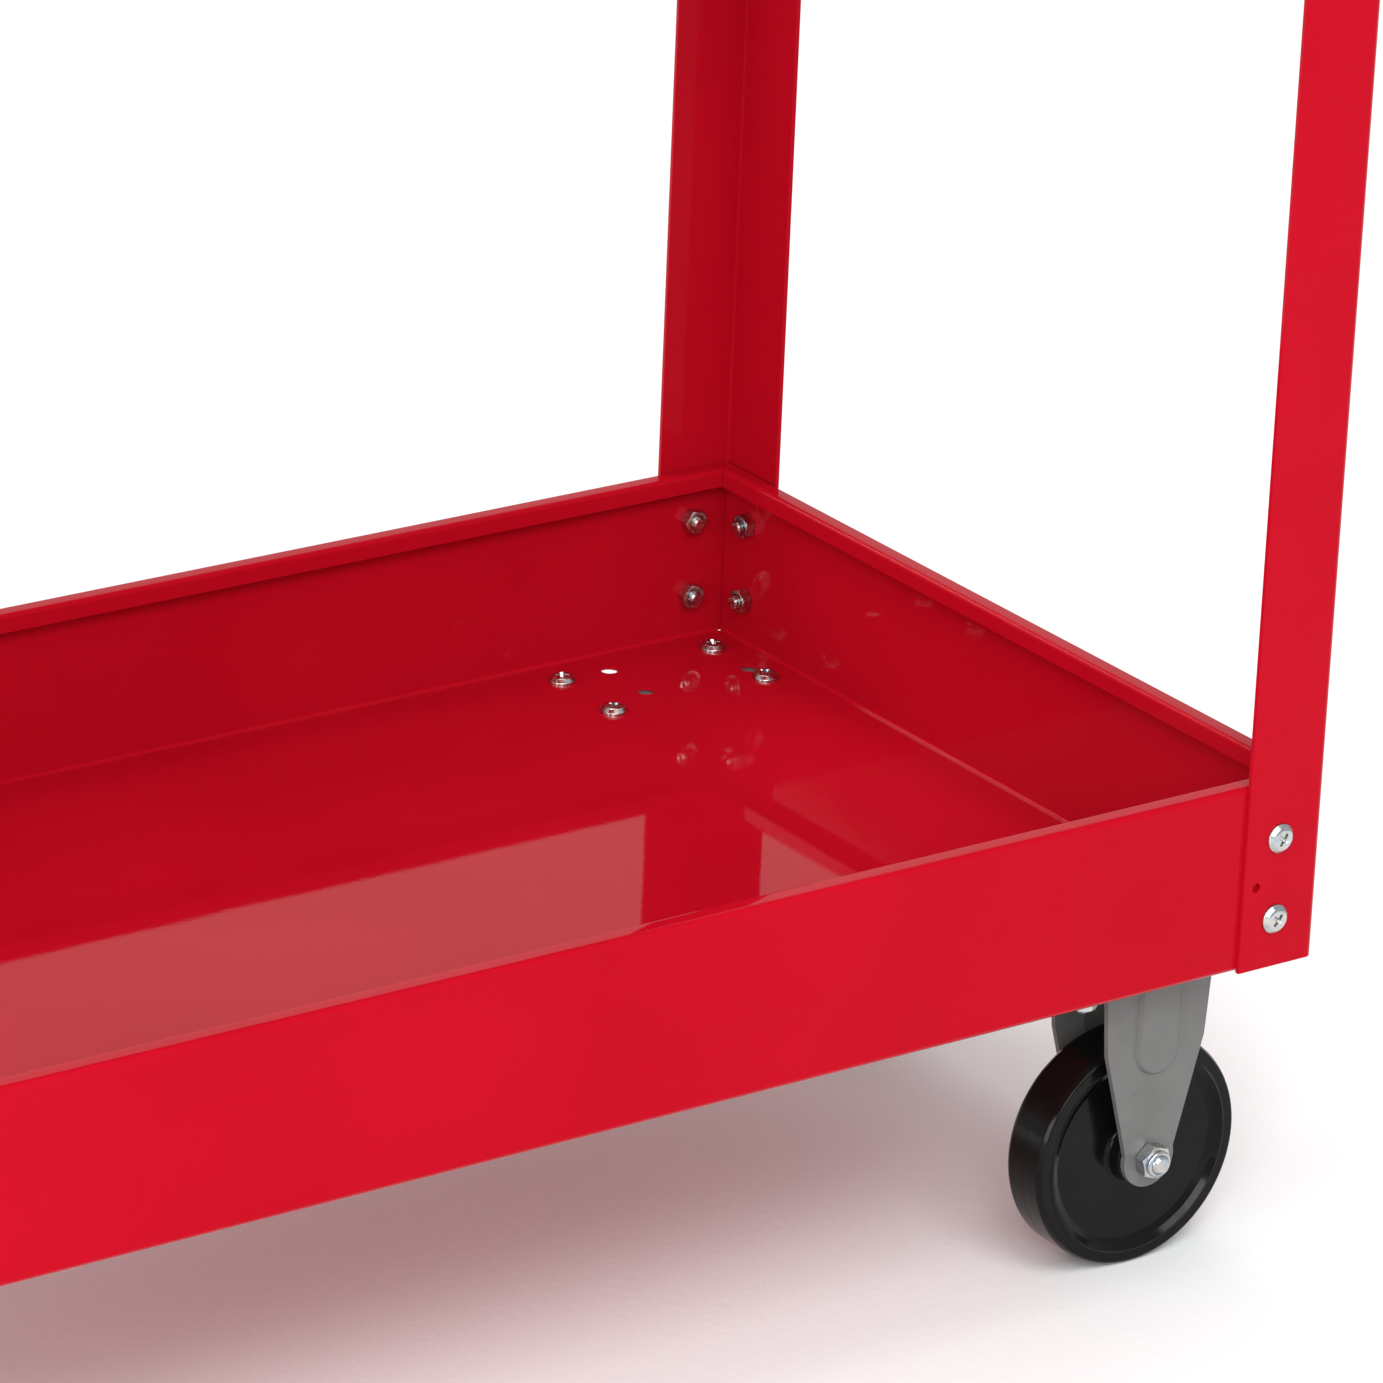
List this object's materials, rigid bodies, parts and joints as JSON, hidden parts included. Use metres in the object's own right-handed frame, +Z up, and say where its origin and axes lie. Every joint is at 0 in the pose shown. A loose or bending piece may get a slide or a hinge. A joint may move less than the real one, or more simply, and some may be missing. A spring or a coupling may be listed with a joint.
{
  "type": "two-tier tray trolley",
  "caption": "Two-tier workshop tray trolley: folded steel trays on angle legs, a tubular push handle, fixed castors at one end and swivel castors at the other.",
  "frame": {"origin": "on the ground, under the middle of the whole trolley with its handle", "axes": "+Z up, +X along the trays from the handle towards the fixed castors, -Y the front"},
  "size_m": [0.8758, 0.415, 0.9018],
  "materials": {
    "red_paint": "gloss red paint, smooth, with sharp reflections",
    "grey_paint": "satin grey paint on pressed steel",
    "wheel_plastic": "semi-gloss black moulded plastic",
    "zinc_plate": "bright zinc plate with a faint blue cast",
    "black_cap": "matt black moulded plastic"
  },
  "bodies": {
    "frame": {"lower_tray": "red_paint", "top_tray": "red_paint", "leg_front_right": "red_paint", "leg_back_right": "red_paint", "leg_front_left": "red_paint", "leg_back_left": "red_paint", "handle": "red_paint", "handle_plug_front": "black_cap", "handle_screw_front_low": "zinc_plate", "handle_screw_front_high": "zinc_plate", "handle_plug_back": "black_cap", "handle_screw_back_low": "zinc_plate", "handle_screw_back_high": "zinc_plate", "fixed_bracket_front_right": "grey_paint", "axle_sleeve_front_right": "zinc_plate", "axle_bolt_front_right": "zinc_plate", "axle_nut_front_right": "zinc_plate", "castor_screw_front_right_1": "zinc_plate", "castor_screw_front_right_2": "zinc_plate", "castor_screw_front_right_3": "zinc_plate", "castor_screw_front_right_4": "zinc_plate", "fixed_bracket_back_right": "grey_paint", "axle_sleeve_back_right": "zinc_plate", "axle_bolt_back_right": "zinc_plate", "axle_nut_back_right": "zinc_plate", "castor_screw_back_right_1": "zinc_plate", "castor_screw_back_right_2": "zinc_plate", "castor_screw_back_right_3": "zinc_plate", "castor_screw_back_right_4": "zinc_plate", "swivel_plate_front_left": "zinc_plate", "ball_race_front_left": "zinc_plate", "kingpin_front_left": "zinc_plate", "castor_screw_front_left_1": "zinc_plate", "castor_screw_front_left_2": "zinc_plate", "castor_screw_front_left_3": "zinc_plate", "castor_screw_front_left_4": "zinc_plate", "swivel_plate_back_left": "zinc_plate", "ball_race_back_left": "zinc_plate", "kingpin_back_left": "zinc_plate", "castor_screw_back_left_1": "zinc_plate", "castor_screw_back_left_2": "zinc_plate", "castor_screw_back_left_3": "zinc_plate", "castor_screw_back_left_4": "zinc_plate"},
    "roller_front_right": {"wheel_front_right": "wheel_plastic"},
    "roller_back_right": {"wheel_back_right": "wheel_plastic"},
    "fork_front_left": {"swivel_fork_front_left": "grey_paint", "axle_sleeve_front_left": "zinc_plate", "axle_bolt_front_left": "zinc_plate", "axle_nut_front_left": "zinc_plate"},
    "roller_front_left": {"wheel_front_left": "wheel_plastic"},
    "fork_back_left": {"swivel_fork_back_left": "grey_paint", "axle_sleeve_back_left": "zinc_plate", "axle_bolt_back_left": "zinc_plate", "axle_nut_back_left": "zinc_plate"},
    "roller_back_left": {"wheel_back_left": "wheel_plastic"}
  },
  "joints": [
    {"name": "spin_front_right", "type": "hinge", "parent": "frame", "child": "roller_front_right", "pos_m": [0.37852, -0.1665, 0.05], "axis": [0, 1, 0], "continuous": true},
    {"name": "spin_back_right", "type": "hinge", "parent": "frame", "child": "roller_back_right", "pos_m": [0.37852, 0.1665, 0.05], "axis": [0, 1, 0], "continuous": true},
    {"name": "swivel_front_left", "type": "hinge", "parent": "frame", "child": "fork_front_left", "pos_m": [-0.26448, -0.1665, 0.12], "axis": [0, 0, 1], "continuous": true},
    {"name": "spin_front_left", "type": "hinge", "parent": "fork_front_left", "child": "roller_front_left", "pos_m": [-0.29948, -0.1665, 0.05], "axis": [0, 1, 0], "continuous": true},
    {"name": "swivel_back_left", "type": "hinge", "parent": "frame", "child": "fork_back_left", "pos_m": [-0.26448, 0.1665, 0.12], "axis": [0, 0, 1], "continuous": true},
    {"name": "spin_back_left", "type": "hinge", "parent": "fork_back_left", "child": "roller_back_left", "pos_m": [-0.29948, 0.1665, 0.05], "axis": [0, 1, 0], "continuous": true}
  ]
}
